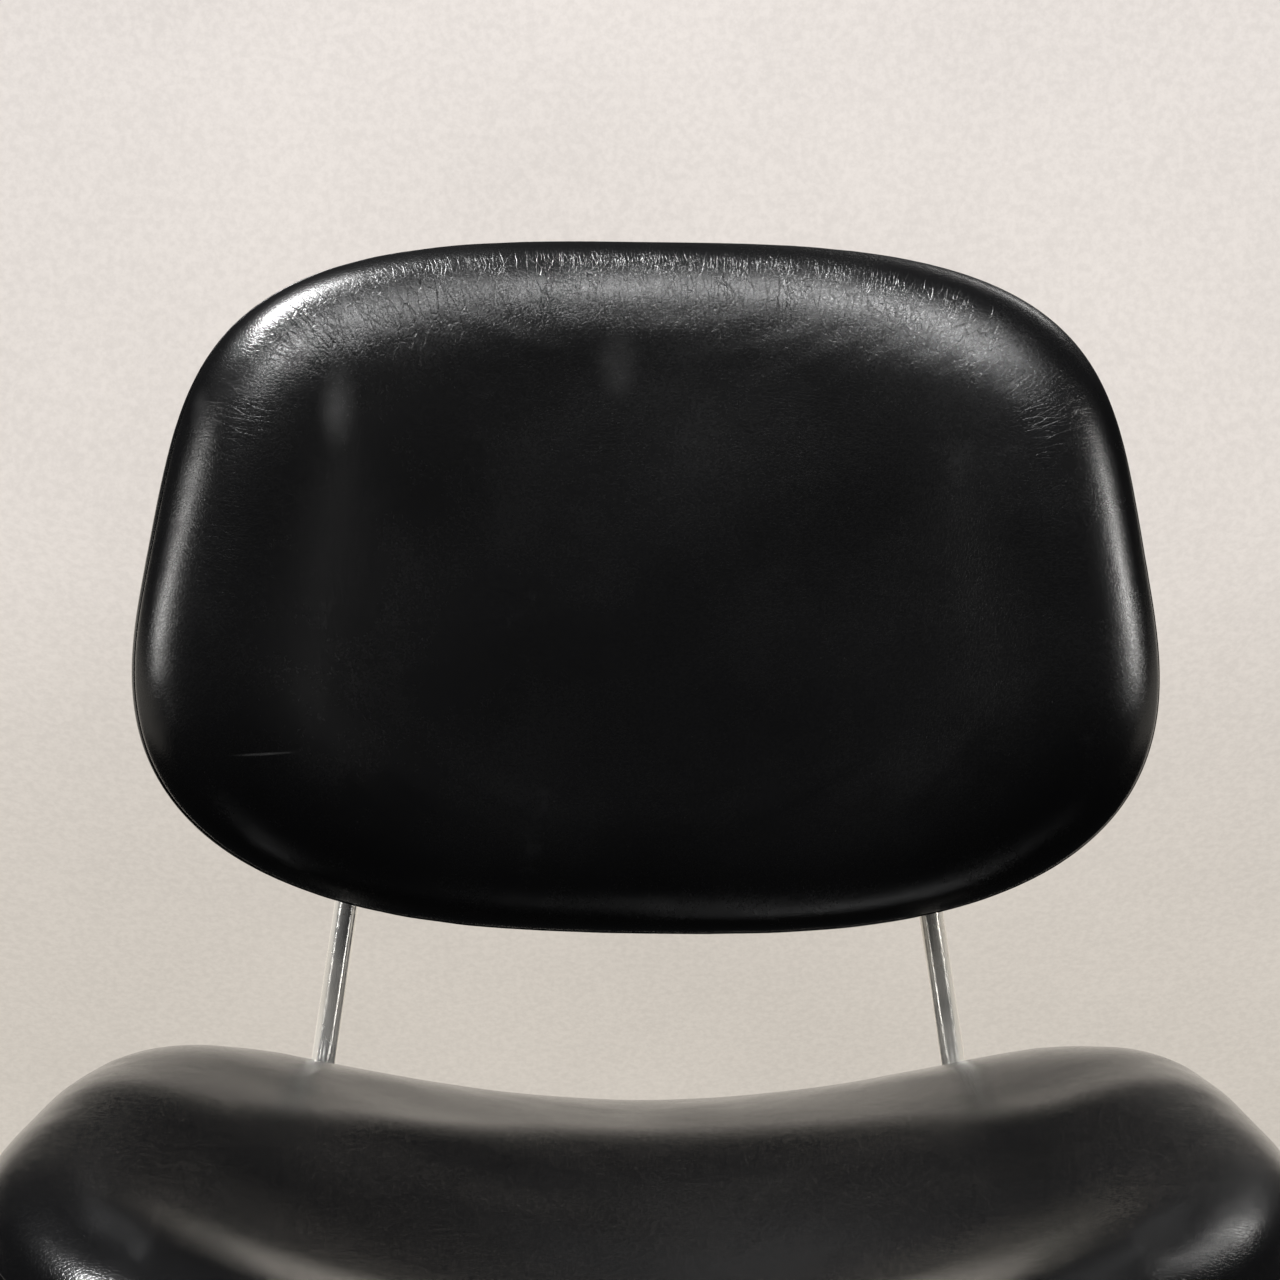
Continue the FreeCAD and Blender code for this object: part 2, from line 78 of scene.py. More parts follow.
def new_piece(name, points, faces, material, body):
    """A smooth-shaded mesh piece that rides on a body."""
    mesh = bpy.data.meshes.new(name)
    mesh.from_pydata([tuple(p) for p in points], [], [tuple(f) for f in faces])
    mesh.polygons.foreach_set("use_smooth", [True] * len(mesh.polygons))
    mesh.materials.append(material)
    piece = bpy.data.objects.new(name, mesh)
    bpy.context.scene.collection.objects.link(piece)
    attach(piece, body)
    return piece


def vector_attribute(mesh, name, values):
    attribute = mesh.attributes.new(name, "FLOAT_VECTOR", "POINT")
    attribute.data.foreach_set("vector", np.asarray(values, np.float32).ravel())


def float_attribute(mesh, name, values):
    attribute = mesh.attributes.new(name, "FLOAT", "POINT")
    attribute.data.foreach_set("value", np.asarray(values, np.float32))


# ---- materials ----------------------------------------------------------------------------------


class Shader:
    """A node material under construction, with short calls for the nodes used here."""

    def __init__(self, name, **sockets):
        self.material = bpy.data.materials.new(name)
        self.material.use_nodes = True
        self.tree = self.material.node_tree
        self.surface = self.tree.nodes["Principled BSDF"]
        for socket, value in sockets.items():
            self.surface.inputs[socket.replace("_", " ")].default_value = value
        self.place = self.node("ShaderNodeTexCoord").outputs["Object"]

    def node(self, kind, **settings):
        made = self.tree.nodes.new(kind)
        for setting, value in settings.items():
            setattr(made, setting, value)
        return made

    def link(self, source, target):
        self.tree.links.new(source, target)

    def feed(self, socket, source):
        self.link(source, self.surface.inputs[socket])

    def stretch(self, source, scale, turn=(0, 0, 0)):
        """The coordinates scaled per axis, and turned first."""
        mapping = self.node("ShaderNodeMapping")
        mapping.inputs["Scale"].default_value = scale
        mapping.inputs["Rotation"].default_value = turn
        self.link(source, mapping.inputs["Vector"])
        return mapping.outputs["Vector"]

    def noise(self, scale, detail=3.0, rough=0.55, where=None, distortion=0.0):
        made = self.node("ShaderNodeTexNoise")
        made.inputs["Scale"].default_value = scale
        made.inputs["Detail"].default_value = detail
        made.inputs["Roughness"].default_value = rough
        made.inputs["Distortion"].default_value = distortion
        self.link(where or self.place, made.inputs["Vector"])
        return made.outputs["Fac"]

    def cells(self, scale, where=None, feature="DISTANCE_TO_EDGE"):
        made = self.node("ShaderNodeTexVoronoi", feature=feature)
        made.inputs["Scale"].default_value = scale
        self.link(where or self.place, made.inputs["Vector"])
        return made.outputs["Distance"]

    def ramp(self, source, low, high, out_low=0.0, out_high=1.0):
        """source from low to high, turned smoothly into out_low to out_high."""
        made = self.node("ShaderNodeMapRange", interpolation_type="SMOOTHSTEP")
        for socket, value in zip(("From Min", "From Max", "To Min", "To Max"), (low, high, out_low, out_high)):
            made.inputs[socket].default_value = value
        self.link(source, made.inputs["Value"])
        return made.outputs["Result"]

    def math(self, operation, *sources):
        made = self.node("ShaderNodeMath", operation=operation)
        for socket, source in zip(made.inputs, sources):
            if isinstance(source, (int, float)):
                socket.default_value = source
            else:
                self.link(source, socket)
        return made.outputs["Value"]

    def colours(self, source, *stops):
        """A colour ramp of (place, (r, g, b)) stops."""
        made = self.node("ShaderNodeValToRGB")
        elements = made.color_ramp.elements
        while len(elements) < len(stops):
            elements.new(0.5)
        for element, (place, colour) in zip(elements, stops):
            element.position = place
            element.color = (*colour, 1.0)
        self.link(source, made.inputs["Fac"])
        return made.outputs["Color"]

    def mix(self, share, first, second):
        made = self.node("ShaderNodeMix", data_type="RGBA")
        for socket, source in zip((made.inputs[0], made.inputs[6], made.inputs[7]), (share, first, second)):
            if isinstance(source, tuple):
                socket.default_value = (*source, 1.0)
            else:
                self.link(source, socket)
        return made.outputs[2]

    def attribute(self, name, output="Fac"):
        return self.node("ShaderNodeAttribute", attribute_name=name).outputs[output]

    def shifted(self, where, amount, reach):
        """Coordinates pushed about by a noise, by up to half of reach."""
        centred = self.math("MULTIPLY", self.math("SUBTRACT", amount, 0.5), reach)
        made = self.node("ShaderNodeVectorMath", operation="ADD")
        self.link(where, made.inputs[0])
        self.link(centred, made.inputs[1])
        return made.outputs["Vector"]

    def bump(self, *layers):
        """Bump layers of (height, distance in metres), one over the other."""
        normal = None
        for height, distance in layers:
            made = self.node("ShaderNodeBump")
            made.inputs["Distance"].default_value = distance
            self.link(height, made.inputs["Height"])
            if normal:
                self.link(normal, made.inputs["Normal"])
            normal = made.outputs["Normal"]
        self.feed("Normal", normal)


def crease_height(s):
    """Thin branched creases that run in over the rolled edge, with a finer net of wrinkles between them."""
    rim = s.attribute("rim", "Vector")
    where = s.stretch(rim, (1.0, 1.0, 0.45))
    warped = s.shifted(where, s.noise(60.0, 3.0, 0.6, where), 0.008)
    long_lines = s.ramp(s.cells(175.0, warped), 0.0, 0.05, 1.0, 0.0)
    nearby = s.shifted(rim, s.noise(160.0, 2.0, 0.5, rim), 0.004)
    short_lines = s.ramp(s.cells(400.0, s.stretch(nearby, (1.0, 1.0, 0.65))), 0.0, 0.10, 1.0, 0.0)
    clumps = s.ramp(s.noise(30.0, 3.0, 0.6, rim), 0.40, 0.64, 0.25, 1.0)
    thin_clumps = s.ramp(s.noise(48.0, 2.0, 0.5, rim), 0.35, 0.65, 0.25, 1.0)
    folds = s.math("MULTIPLY", long_lines, clumps)
    wrinkles = s.math("MULTIPLY", s.math("MULTIPLY", short_lines, thin_clumps), 0.55)
    depth = s.math("MULTIPLY", s.math("MAXIMUM", folds, wrinkles), s.attribute("creasing"))
    return s.math("SUBTRACT", 1.0, depth)


# Rubbed spots of the back: centre (x, z), half size across and up, turn, strength.
RUBBED = (
    ((-0.150, 0.664), (0.012, 0.026), 0.0, 0.60),
    ((-0.218, 0.660), (0.007, 0.016), 0.0, 0.30),
    ((-0.010, 0.682), (0.014, 0.022), 0.0, 0.25),
    ((-0.183, 0.500), (0.020, 0.0009), 0.30, 0.70),
)


def rubbed_spot(s, centre, size, turn):
    """1 in the middle of a soft oval patch on the sitter's side of the back, fading to 0 at its edge."""
    moved = s.node("ShaderNodeVectorMath", operation="SUBTRACT")
    s.link(s.place, moved.inputs[0])
    moved.inputs[1].default_value = (centre[0], 0.0, centre[1])
    scaled = s.stretch(moved.outputs["Vector"], (1 / size[0], 0.0, 1 / size[1]), (0, turn, 0))
    length = s.node("ShaderNodeVectorMath", operation="LENGTH")
    s.link(scaled, length.inputs[0])
    return s.ramp(length.outputs["Value"], 0.0, 1.0, 1.0, 0.0)


def leatherette(name, rim_creases, dullness=0.225):
    """Black coated cloth: pebbled grain, fine creases across the rolled edges, faint dust and rubbing."""
    s = Shader(name, IOR=1.5)
    smudge = s.ramp(s.noise(15.0, 5.0, 0.68), 0.62, 0.80)
    specks = s.ramp(s.noise(900.0, 1.0, 0.4), 0.80, 0.86)
    base = s.mix(s.ramp(s.noise(9.0, 3.0), 0.3, 0.7), (0.0016, 0.0016, 0.0018), (0.0028, 0.0028, 0.0031))
    dusty = s.mix(s.math("MULTIPLY", smudge, 0.22), base, (0.020, 0.021, 0.022))
    spotted = s.mix(s.math("MULTIPLY", specks, 0.5), dusty, (0.06, 0.06, 0.058))
    for centre, size, turn, strength in RUBBED if rim_creases else ():
        share = s.math("MULTIPLY", rubbed_spot(s, centre, size, turn), strength)
        spotted = s.mix(s.math("MULTIPLY", share, s.noise(70.0, 3.0)), spotted, (0.10, 0.10, 0.10))
    s.feed("Base Color", spotted)
    wear = s.ramp(s.noise(14.0, 4.0, 0.6), 0.35, 0.7, 0.0, 0.035)
    fine = s.ramp(s.noise(700.0, 2.0), 0.3, 0.7, 0.0, 0.04)
    rubbed = s.math("MULTIPLY", smudge, 0.05)
    s.feed("Roughness", s.math("ADD", s.math("ADD", s.math("ADD", wear, fine), rubbed), dullness))
    bent = s.noise(95.0, 2.0)
    pebble = s.ramp(s.cells(640.0), 0.0, 0.16)
    pores = s.noise(1500.0, 3.0, 0.6)
    layers = [(bent, 0.00006), (pebble, 0.000022), (pores, 0.00002)]
    if rim_creases:
        layers.insert(0, (crease_height(s), 0.00017))
    s.bump(*layers)
    return s.material


def aged_chrome():
    """Chrome plate gone grey: pits, brown rust spots and a dull yellowish film."""
    s = Shader("aged_chrome")
    pits = s.ramp(s.noise(620.0, 4.0, 0.7), 0.58, 0.68)
    patches = s.ramp(s.noise(38.0, 4.0, 0.6), 0.50, 0.64)
    rust = s.math("MULTIPLY", pits, patches)
    film = s.ramp(s.noise(17.0, 3.0), 0.35, 0.7)
    plate = s.mix(film, (0.90, 0.89, 0.86), (0.80, 0.77, 0.71))
    s.feed("Base Color", s.mix(rust, plate, (0.12, 0.065, 0.030)))
    s.feed("Metallic", s.ramp(film, 0.0, 1.0, 0.78, 0.62))
    scuffs = s.noise(900.0, 3.0, 0.6, s.stretch(s.place, (1.0, 1.0, 0.12)))
    dull = s.math("ADD", s.ramp(scuffs, 0.35, 0.7, 0.12, 0.22), s.ramp(film, 0.0, 1.0, 0.0, 0.06))
    s.feed("Roughness", s.math("MAXIMUM", dull, s.math("MULTIPLY", rust, 0.65)))
    s.bump((s.noise(120.0, 2.0), 0.00001), (pits, 0.00001))
    return s.material


def zinc_steel():
    s = Shader("zinc_plated_steel", Metallic=1.0)
    spangle = s.cells(260.0, feature="F1")
    s.feed("Base Color", s.mix(spangle, (0.52, 0.51, 0.47), (0.36, 0.35, 0.31)))
    s.feed("Roughness", s.ramp(s.noise(400.0, 3.0), 0.3, 0.7, 0.28, 0.46))
    s.bump((s.noise(900.0, 2.0), 0.00002))
    return s.material


def rubber():
    s = Shader("moulded_rubber", IOR=1.5)
    bloom = s.ramp(s.noise(80.0, 4.0, 0.65), 0.4, 0.75)
    s.feed("Base Color", s.mix(bloom, (0.012, 0.012, 0.012), (0.045, 0.043, 0.040)))
    s.feed("Roughness", s.ramp(bloom, 0.0, 1.0, 0.55, 0.8))
    s.bump((s.noise(1300.0, 3.0), 0.00005))
    return s.material


def plastic():
    s = Shader("black_plastic", IOR=1.48)
    s.feed("Base Color", s.mix(s.noise(60.0), (0.014, 0.014, 0.015), (0.030, 0.030, 0.031)))
    s.feed("Roughness", s.ramp(s.noise(300.0, 3.0), 0.3, 0.7, 0.38, 0.55))
    s.bump((s.noise(1600.0, 2.0), 0.00003))
    return s.material


def plywood():
    s = Shader("moulded_plywood", IOR=1.5)
    grain = s.noise(26.0, 5.0, 0.6, s.stretch(s.place, (9.0, 1.0, 1.0)), distortion=0.6)
    s.feed("Base Color", s.colours(grain, (0.30, (0.16, 0.085, 0.04)), (0.55, (0.36, 0.21, 0.11)),
                                   (0.75, (0.50, 0.32, 0.18))))
    s.feed("Roughness", s.ramp(grain, 0.3, 0.7, 0.42, 0.58))
    s.bump((grain, 0.0002))
    return s.material


def foam_rubber():
    s = Shader("foam_rubber", IOR=1.4)
    s.feed("Base Color", s.mix(s.noise(40.0), (0.62, 0.50, 0.28), (0.74, 0.63, 0.42)))
    s.feed("Roughness", s.ramp(s.noise(200.0), 0.3, 0.7, 0.8, 0.95))
    s.bump((s.cells(420.0), 0.0004))
    return s.material


def cambric():
    """Thin black woven dust cloth."""
    s = Shader("dust_cloth", IOR=1.45)
    warp = s.node("ShaderNodeTexWave", bands_direction="X")
    weft = s.node("ShaderNodeTexWave", bands_direction="Y")
    for wave in (warp, weft):
        wave.inputs["Scale"].default_value = 260.0
        wave.inputs["Distortion"].default_value = 0.6
        s.link(s.place, wave.inputs["Vector"])
    weave = s.math("MULTIPLY", warp.outputs["Fac"], weft.outputs["Fac"])
    s.feed("Base Color", s.mix(weave, (0.006, 0.006, 0.006), (0.030, 0.029, 0.028)))
    s.feed("Roughness", s.ramp(s.noise(120.0), 0.3, 0.7, 0.78, 0.95))
    s.bump((weave, 0.00015))
    return s.material


BACK_LEATHER = leatherette("back_leatherette", rim_creases=True)
SEAT_LEATHER = leatherette("seat_leatherette", rim_creases=True, dullness=0.165)
TRIM_LEATHER = leatherette("trim_leatherette", rim_creases=False)
BY_SLOT = {
    "black_leatherette": TRIM_LEATHER,
    "aged_chrome": aged_chrome(),
    "zinc_plated_steel": zinc_steel(),
    "black_rubber": rubber(),
    "black_plastic": plastic(),
    "plywood": plywood(),
    "foam": foam_rubber(),
    "dust_cloth": cambric(),
}


def paint_cad_nodes():
    for part in frame["record"]["subparts"]:
        node = frame["nodes"][part["node"]]
        material = BY_SLOT[part["material_slot"]]
        for material_slot in node.material_slots:
            material_slot.material = material


paint_cad_nodes()


# ---- the padded back and seat -------------------------------------------------------------------


def run_in(distance, ease):
    """0 before the start, then a slope that grows to 1 over the ease length and stays at 1."""
    t = np.clip(distance / ease, 0, 1)
    return ease * (t ** 3 - t ** 4 / 2) + np.maximum(distance - ease, 0)


# The sat-in hollow's rear line, in millimetres: where it crosses the middle, and how far its ends sweep forwards.
LINE_AT, LINE_SWEEP = 122, 80
LINE_REACH, LINE_EASE = 190 * MM, 45 * MM
FLOOR_AT, FLOOR_EASE = -40 * MM, 90 * MM  # where the slope levels out
FRONT_LOSS, FRONT_START = 0.6, 100 * MM  # the hollow gets shallower towards the front


class PadForm:
    """A pad's outline and section, in metres, in its own frame: x across, y up or rearwards, z to the sitter."""

    def __init__(self, half_width, half_height, side_power, far_power, near_power, taper, trough, front, rear,
                 roll_width, side_roll, roll_drop, side_drop, crown, lift, hollow, twist, shift, matrix):
        self.half_width, self.half_height = half_width, half_height
        self.side_power, self.far_power, self.near_power = side_power, far_power, near_power
        self.taper = taper  # share by which the -y end is wider
        self.trough = trough  # radius of the dish
        self.front, self.rear = front, rear
        self.roll_width, self.roll_drop = roll_width, roll_drop
        self.side_roll = side_roll  # share by which the rolled edge is wider at the sides
        self.side_drop = side_drop  # share by which it is deeper there
        self.crown = crown
        self.lift = lift  # extra rise of the +y corners
        self.hollow = hollow  # slope of the sat-in hollow
        self.twist, self.shift = twist, shift  # how the cover sits askew: turned, and moved along x
        self.matrix = matrix

    def radius(self, angle):
        """Distance of the outline from the centre, by direction."""
        dense = np.linspace(-math.pi, math.pi, 4001)
        across, along = np.cos(dense), np.sin(dense)
        power = np.where(along > 0, self.far_power, self.near_power)
        y = self.half_height * np.sign(along) * np.abs(along) ** (2 / power)
        width = self.half_width * (1 - self.taper * y / self.half_height)
        x = width * np.sign(across) * np.abs(across) ** (2 / self.side_power)
        return np.interp(angle, np.arctan2(y, x), np.hypot(x, y), period=2 * math.pi)

    def sunk(self, x, y):
        """How far the sat-in hollow lowers the sitter's side: a slope down from a soft line near the rear."""
        line = (LINE_AT - LINE_SWEEP * np.clip(x / LINE_REACH, -1, 1) ** 2) * MM
        depth = run_in(line - y, LINE_EASE) - run_in(FLOOR_AT - y, FLOOR_EASE)
        depth *= 1 - FRONT_LOSS * smooth_step(-y, FRONT_START, self.half_height)
        return self.hollow * depth * np.sqrt(np.clip(1 - (x / self.half_width) ** 2, 0, 1))

    def base(self, x, z):
        """Rise of the dish at x, for a surface z from the base one. Layers behind it share its axis."""
        radius = self.trough - np.minimum(z, 0)
        return radius - np.sqrt(radius ** 2 - np.clip(x, -0.9 * radius, 0.9 * radius) ** 2)

    def raised(self, x, y):
        """Extra height of the sitter's side: the corners' lift, less the hollow."""
        return self.lift * (x / self.half_width) ** 2 * y / self.half_height - self.sunk(x, y)


BACK_RECLINE = math.radians(17)
SEAT_TILT = math.radians(9)


def pad_matrix(y, z, turn):
    return Matrix.Translation((0, y, z)) @ Matrix.Rotation(turn, 4, "X")


BACK = PadForm(
    half_width=248.8 * MM, half_height=179.8 * MM, side_power=2.74, far_power=4.335, near_power=2.79,
    taper=0.107, trough=556 * MM, front=24 * MM, rear=-18 * MM, roll_width=64 * MM, side_roll=0.3,
    roll_drop=30 * MM, side_drop=0.24, crown=3.0 * MM, lift=0.0, hollow=0.0, twist=math.radians(0.8),
    shift=5 * MM,
    matrix=pad_matrix(221 * MM, 570.5 * MM, math.pi / 2 - BACK_RECLINE),
)
SEAT = PadForm(
    half_width=263 * MM, half_height=225 * MM, side_power=3.35, far_power=3.36, near_power=3.2,
    taper=0.015, trough=622 * MM, front=0.0, rear=-44 * MM, roll_width=76 * MM, side_roll=0.15,
    roll_drop=30 * MM, side_drop=0.0, crown=0.0, lift=5.3 * MM, hollow=0.13, twist=0.0, shift=1.5 * MM,
    matrix=pad_matrix(-60.5 * MM, 358.5 * MM, -SEAT_TILT),
)

GRID = 184  # cells along one side of the pad's face
ROLL_RINGS, SIDE_RINGS, FAR_RINGS, HEM_RINGS = 44, 8, 8, 8  # from the face round to the hem's edge
ROLL_POWER = 2.6  # squareness of the rolled edge's section
FAR_ROLL = 9 * MM
HEM = 34 * MM
BULGE = 0.6 * MM  # of the straight side between the two rolls
INNER_FACE = 6 * MM  # depth of the pad's hidden far face, inside its shell


def disc_grid(count):
    """A square grid bent into a disc: (count + 1)² points, and the loop of its border points."""
    side = np.linspace(-1, 1, count + 1)
    gx, gy = np.meshgrid(side, side)
    x = (gx * np.sqrt(1 - gy ** 2 / 2)).ravel()
    y = (gy * np.sqrt(1 - gx ** 2 / 2)).ravel()
    index = np.arange((count + 1) ** 2).reshape(count + 1, count + 1)
    border = np.concatenate([index[0, :-1], index[:-1, -1], index[-1, :0:-1], index[:0:-1, 0]])
    quads = np.stack([index[:-1, :-1], index[:-1, 1:], index[1:, 1:], index[1:, :-1]], axis=-1).reshape(-1, 4)
    return x, y, border, quads


def inset_loop(form, angle, inset):
    """The outline moved inwards, at the given directions."""
    radius = form.radius(angle)
    x, y = radius * np.cos(angle), radius * np.sin(angle)
    step = 1e-3
    ahead, behind = form.radius(angle + step), form.radius(angle - step)
    tx = ahead * np.cos(angle + step) - behind * np.cos(angle - step)
    ty = ahead * np.sin(angle + step) - behind * np.sin(angle - step)
    length = np.hypot(tx, ty)
    return x - inset * ty / length, y + inset * tx / length


def section(form):
    """The pad's section outside its flat face, as (inset, height) from the face round to the hem's edge."""
    rings = []
    for i in range(1, ROLL_RINGS + 1):
        share = math.sin(math.pi / 2 * i / ROLL_RINGS)  # 0 at the face, 1 at the rim
        drop = form.roll_drop * (1 - math.sqrt(max(0.0, 1 - share ** ROLL_POWER)))
        rings.append((form.roll_width * (1 - share), form.front - drop))
    start, end = form.front - form.roll_drop, form.rear + FAR_ROLL
    for i in range(1, SIDE_RINGS + 1):
        share = i / SIDE_RINGS
        rings.append((-BULGE * math.sin(math.pi * share), start + (end - start) * share))
    for i in range(1, FAR_RINGS + 1):
        turn = math.pi / 2 * i / FAR_RINGS
        rings.append((FAR_ROLL * (1 - math.cos(turn)), end - FAR_ROLL * math.sin(turn)))
    for i in range(1, HEM_RINGS + 1):
        rings.append((FAR_ROLL + (HEM - FAR_ROLL) * i / HEM_RINGS, form.rear))
    rings.append((HEM + 0.3 * MM, form.rear + 0.3 * MM))
    rings.append((HEM + 0.5 * MM, form.rear + INNER_FACE))
    return rings


SWELL = 0.35 * MM
WAVES = 9
SHORTEST, LONGEST = 50 * MM, 160 * MM


def undulation(x, y, seed):
    """A slow, uneven swell of the foam under the cover: a sum of waves, the long ones higher."""
    spread = random.Random(seed)
    height = np.zeros_like(x)
    for _ in range(WAVES):
        turn, wave, phase = spread.uniform(0, math.pi), spread.uniform(SHORTEST, LONGEST), spread.uniform(0, 6.3)
        height += np.sin((x * math.cos(turn) + y * math.sin(turn)) * 2 * math.pi / wave + phase) * wave
    return SWELL * height / 0.45


def ring_height(form, height, angle):
    """Height of one ring all round: the edge rolls further back at the sides than at the top."""
    drop = form.roll_drop * (1 + form.side_drop * np.cos(angle) ** 2)
    start, end = form.front - form.roll_drop, form.rear + FAR_ROLL
    if height >= start:
        return form.front - (form.front - height) * drop / form.roll_drop
    if height <= end:
        return np.full(len(angle), height)
    return form.front - drop + (end - form.front + drop) * (start - height) / (start - end)


def pad_points(form):
    """Points, quads and edge coordinates of the closed pad, in its own frame."""
    dx, dy, border, quads = disc_grid(GRID)
    angle, share = np.arctan2(dy, dx), np.hypot(dx, dy)
    widening = 1 + form.side_roll * np.cos(angle) ** 2
    fx, fy = inset_loop(form, angle, form.roll_width * widening)
    face = np.stack([fx * share, fy * share, form.front + form.crown * (1 - share ** 2) ** 2], axis=1)
    loop_angle = angle[border]
    points, faces = [face], [quads]
    insets = [form.roll_width + (1 - share) * np.hypot(fx, fy)]
    angles = [angle]
    last, count = border, len(face)
    size = len(border)
    for ring_number, (inset, height) in enumerate(section(form)):
        across = inset * widening[border] if ring_number < ROLL_RINGS else inset
        x, y = inset_loop(form, loop_angle, across)
        points.append(np.stack([x, y, ring_height(form, height, loop_angle)], axis=1))
        insets.append(np.full(size, inset if height > form.rear + FAR_ROLL else -1.0))
        angles.append(loop_angle)
        ring = np.arange(count, count + size)
        faces.append(np.stack([last, ring, np.roll(ring, -1), np.roll(last, -1)], axis=1))
        last, count = ring, count + size
    back_x, back_y = inset_loop(form, angle, HEM + 0.5 * MM)
    inner = np.ones(len(face), bool)
    inner[border] = False
    index = np.zeros(len(face), int)
    index[inner] = np.arange(count, count + inner.sum())
    index[border] = last
    back = np.stack([back_x * share, back_y * share, np.full(len(face), form.rear + INNER_FACE)], axis=1)
    points.append(back[inner])
    insets.append(np.full(inner.sum(), -1.0))
    angles.append(angle[inner])
    faces.append(index[quads][:, ::-1])
    cloud, cells = np.concatenate(points), np.concatenate(faces)
    return cloud, cells, np.concatenate(insets), np.concatenate(angles)


def bend(form, cloud, seed):
    """Dishes the flat-laid pad, and sets its sitter's side a little askew on its shell."""
    x, y, z = cloud.T
    sitter_side = smooth_step(z, form.rear + 4 * MM, form.rear + 20 * MM)
    swell = (undulation(x, y, seed) + form.raised(x, y)) * sitter_side
    lean = np.clip(z - (form.front - form.roll_drop), 0, None) / form.trough
    askew = smooth_step(z, form.rear + 1 * MM, form.rear + 9 * MM)
    turn = form.twist * askew
    leaned = x * (1 - lean)
    across = leaned * np.cos(turn) + y * np.sin(turn) + form.shift * askew
    along = y * np.cos(turn) - leaned * np.sin(turn)
    return np.stack([across, along, z + swell + form.base(x, z)], axis=1)


def world_points(form, cloud):
    matrix = np.array(form.matrix)
    return cloud @ matrix[:3, :3].T + matrix[:3, 3]


VOXEL = 6 * MM
FRAMES = 20
MOST_MOVED = 0.9 * MM
PINNED_BELOW = 12 * MM  # of height over the pad's rear face, which the shell holds
NEIGHBOURS, BLUR = 12, 9 * MM  # for carrying the coarse copy's movement over


def settled(piece, form):
    """Cloth simulation of a coarse copy under pressure: how far each of the piece's points moves."""
    coarse = piece.copy()
    coarse.data = piece.data.copy()
    bpy.context.scene.collection.objects.link(coarse)
    coarse.parent = None
    remesh = coarse.modifiers.new("remesh", "REMESH")
    remesh.mode, remesh.voxel_size = "VOXEL", VOXEL
    bpy.context.view_layer.update()
    graph = bpy.context.evaluated_depsgraph_get()
    mesh = bpy.data.meshes.new_from_object(coarse.evaluated_get(graph))
    coarse.modifiers.clear()
    coarse.data = mesh
    before = np.array([v.co for v in mesh.vertices])
    into_pad = np.array(form.matrix.inverted())
    local = before @ into_pad[:3, :3].T + into_pad[:3, 3]
    height = local[:, 2] - form.base(local[:, 0], form.rear)
    held = coarse.vertex_groups.new(name="held")
    held.add([int(i) for i in np.nonzero(height < form.rear + PINNED_BELOW)[0]], 1.0, "REPLACE")
    cloth = coarse.modifiers.new("cloth", "CLOTH")
    cloth.settings.quality = 6
    cloth.settings.mass = 0.4
    cloth.settings.tension_stiffness = cloth.settings.compression_stiffness = 40
    cloth.settings.bending_stiffness = 2.0
    cloth.settings.use_pressure = True
    cloth.settings.uniform_pressure_force = 4.0
    cloth.settings.vertex_group_mass = "held"
    cloth.settings.effector_weights.gravity = 0.0
    cloth.collision_settings.use_collision = False
    cloth.point_cache.frame_start, cloth.point_cache.frame_end = 1, FRAMES
    for number in range(1, FRAMES + 1):
        bpy.context.scene.frame_set(number)
    graph = bpy.context.evaluated_depsgraph_get()
    after = np.array([v.co for v in coarse.evaluated_get(graph).data.vertices])
    bpy.context.scene.frame_set(1)
    move = after - before
    length = np.linalg.norm(move, axis=1, keepdims=True)
    move *= MOST_MOVED / (length + MOST_MOVED)
    bpy.data.objects.remove(coarse)
    tree = KDTree(len(before))
    for i, point in enumerate(before):
        tree.insert(point, i)
    tree.balance()
    made = np.zeros((len(piece.data.vertices), 3))
    for i, vertex in enumerate(piece.data.vertices):
        near = tree.find_n(vertex.co, NEIGHBOURS)
        weights = np.array([math.exp(-(distance / BLUR) ** 2) + 1e-6 for _, _, distance in near])
        made[i] = weights @ move[[k for _, k, _ in near]] / weights.sum()
    return made


def creasing_strength(insets, angles, most):
    """Full over the +y edge, less round the sides, and none along the -y edge."""
    reach = 1 + 0.9 * smooth_step(np.sin(angles), 0.3, 0.8)
    by_inset = smooth_step(insets, 4 * MM, 14 * MM) * (1 - smooth_step(insets / reach, 18 * MM, 36 * MM))
    by_side = 0.25 + 0.75 * smooth_step(np.sin(angles), 0.15, 0.62)
    return most * by_inset * by_side * smooth_step(np.sin(angles), -0.45, 0.10)


GIRTH = 0.25  # radius of the ring on which the creases' coordinates run round the edge


def pad_piece(name, form, leather, body, nodes, seed, most_creased):
    cloud, cells, insets, angles = pad_points(form)
    piece = new_piece(name, world_points(form, bend(form, cloud, seed)), cells, leather, body)
    rim = np.stack([GIRTH * np.cos(angles), GIRTH * np.sin(angles), insets], axis=1)
    vector_attribute(piece.data, "rim", rim)
    float_attribute(piece.data, "creasing", creasing_strength(insets, angles, most_creased))
    move = settled(piece, form)
    points = np.array([v.co for v in piece.data.vertices]) + move
    piece.data.vertices.foreach_set("co", points.ravel())
    piece.data.update()
    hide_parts(*nodes)


pad_piece("back_pad", BACK, BACK_LEATHER, "backrest", ["back_cover", "back_foam"], seed=11, most_creased=0.8)
pad_piece("seat_pad", SEAT, SEAT_LEATHER, "chair_frame", ["seat_cover", "seat_foam"], seed=23, most_creased=0.2)


# ---- the dust cover ------------------------------------------------------------------------------


STAPLED_IN = 21 * MM  # from the seat's outline
STAPLES = 36
DUST_COVER_T = 1.0 * MM


